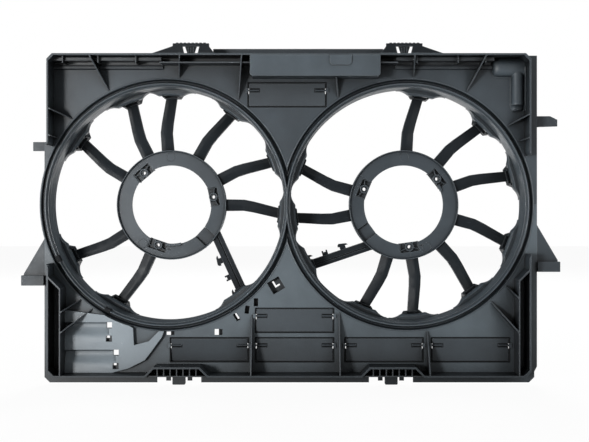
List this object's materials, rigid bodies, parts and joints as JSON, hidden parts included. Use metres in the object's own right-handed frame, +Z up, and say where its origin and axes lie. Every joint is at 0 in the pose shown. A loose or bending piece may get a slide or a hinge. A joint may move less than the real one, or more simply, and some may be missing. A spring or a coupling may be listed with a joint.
{
  "type": "radiator fan shroud",
  "caption": "Moulded twin fan shroud for a radiator: rectangular rim, round fan openings, stator arms to motor rings and hinged ram-air flaps.",
  "frame": {"origin": "centre of the rim, in the plane that seats on the radiator", "axes": "+X to the right and +Z up as seen from the radiator, +Y towards the engine"},
  "size_m": [0.8055, 0.108, 0.5058],
  "materials": {
    "shroud": "satin glass-filled polyamide",
    "flap": "satin glass-filled polyamide"
  },
  "bodies": {
    "shroud": {"bottom_ribs": "shroud", "bottom_wall": "shroud", "corner_duct": "shroud", "hook_ribs": "shroud", "left_arm_1": "shroud", "left_arm_2": "shroud", "left_arm_3": "shroud", "left_arm_4": "shroud", "left_arm_5": "shroud", "left_arm_6": "shroud", "left_arm_7": "shroud", "left_arm_8": "shroud", "left_bracket": "shroud", "left_cable_arm": "shroud", "left_channel_rib": "shroud", "left_fan_ring": "shroud", "left_hook": "shroud", "left_latch": "shroud", "left_motor_ring": "shroud", "left_rail": "shroud", "left_ribs": "shroud", "left_upper_tab": "shroud", "left_wall_lower": "shroud", "left_wall_upper": "shroud", "lower_left_ribs": "shroud", "lower_panel": "shroud", "lower_right_ribs": "shroud", "right_arm_1": "shroud", "right_arm_2": "shroud", "right_arm_3": "shroud", "right_arm_4": "shroud", "right_arm_5": "shroud", "right_arm_6": "shroud", "right_arm_7": "shroud", "right_arm_8": "shroud", "right_arm_9": "shroud", "right_bracket": "shroud", "right_cable_arm": "shroud", "right_channel_rib": "shroud", "right_fan_ring": "shroud", "right_hook": "shroud", "right_latch": "shroud", "right_motor_ring": "shroud", "right_rail": "shroud", "right_ribs": "shroud", "right_upper_tab": "shroud", "right_wall_lower": "shroud", "right_wall_upper": "shroud", "top_cover": "shroud", "top_ribs": "shroud", "top_wall": "shroud", "upper_panel": "shroud", "wiring_tray": "shroud"},
    "top_centre_flap": {"top_centre_flap": "flap"},
    "lower_left_flap": {"lower_left_flap": "flap"},
    "centre_upper_flap": {"centre_upper_flap": "flap"},
    "centre_lower_flap": {"centre_lower_flap": "flap"},
    "right_inner_flap": {"right_inner_flap": "flap"},
    "right_outer_flap": {"right_outer_flap": "flap"},
    "left_latch_tongue": {"left_latch_tongue": "shroud"},
    "right_latch_tongue": {"right_latch_tongue": "shroud"}
  },
  "joints": [
    {"name": "top_centre_flap_hinge", "type": "hinge", "parent": "shroud", "child": "top_centre_flap", "pos_m": [-0.0033, 0.0362, 0.18744], "axis": [1, 0, 0], "range_deg": [0, 75]},
    {"name": "lower_left_flap_hinge", "type": "hinge", "parent": "shroud", "child": "lower_left_flap", "pos_m": [-0.11961, 0.0362, -0.19485], "axis": [1, 0, 0], "range_deg": [-8, 67]},
    {"name": "centre_upper_flap_hinge", "type": "hinge", "parent": "shroud", "child": "centre_upper_flap", "pos_m": [0.00799, 0.0362, -0.15085], "axis": [1, 0, 0], "range_deg": [0, 75]},
    {"name": "centre_lower_flap_hinge", "type": "hinge", "parent": "shroud", "child": "centre_lower_flap", "pos_m": [0.00799, 0.0362, -0.19485], "axis": [1, 0, 0], "range_deg": [0, 75]},
    {"name": "right_inner_flap_hinge", "type": "hinge", "parent": "shroud", "child": "right_inner_flap", "pos_m": [0.14209, 0.0362, -0.19485], "axis": [1, 0, 0], "range_deg": [0, 75]},
    {"name": "right_outer_flap_hinge", "type": "hinge", "parent": "shroud", "child": "right_outer_flap", "pos_m": [0.27179, 0.0362, -0.19485], "axis": [1, 0, 0], "range_deg": [0, 75]},
    {"name": "left_latch_flex", "type": "hinge", "parent": "shroud", "child": "left_latch_tongue", "pos_m": [-0.1436, 0.003, 0.2472], "axis": [1, 0, 0], "range_deg": [0, 10], "stiffness_Nm_per_rad": 0.5},
    {"name": "right_latch_flex", "type": "hinge", "parent": "shroud", "child": "right_latch_tongue", "pos_m": [0.169, 0.003, 0.2472], "axis": [1, 0, 0], "range_deg": [0, 10], "stiffness_Nm_per_rad": 0.5}
  ]
}
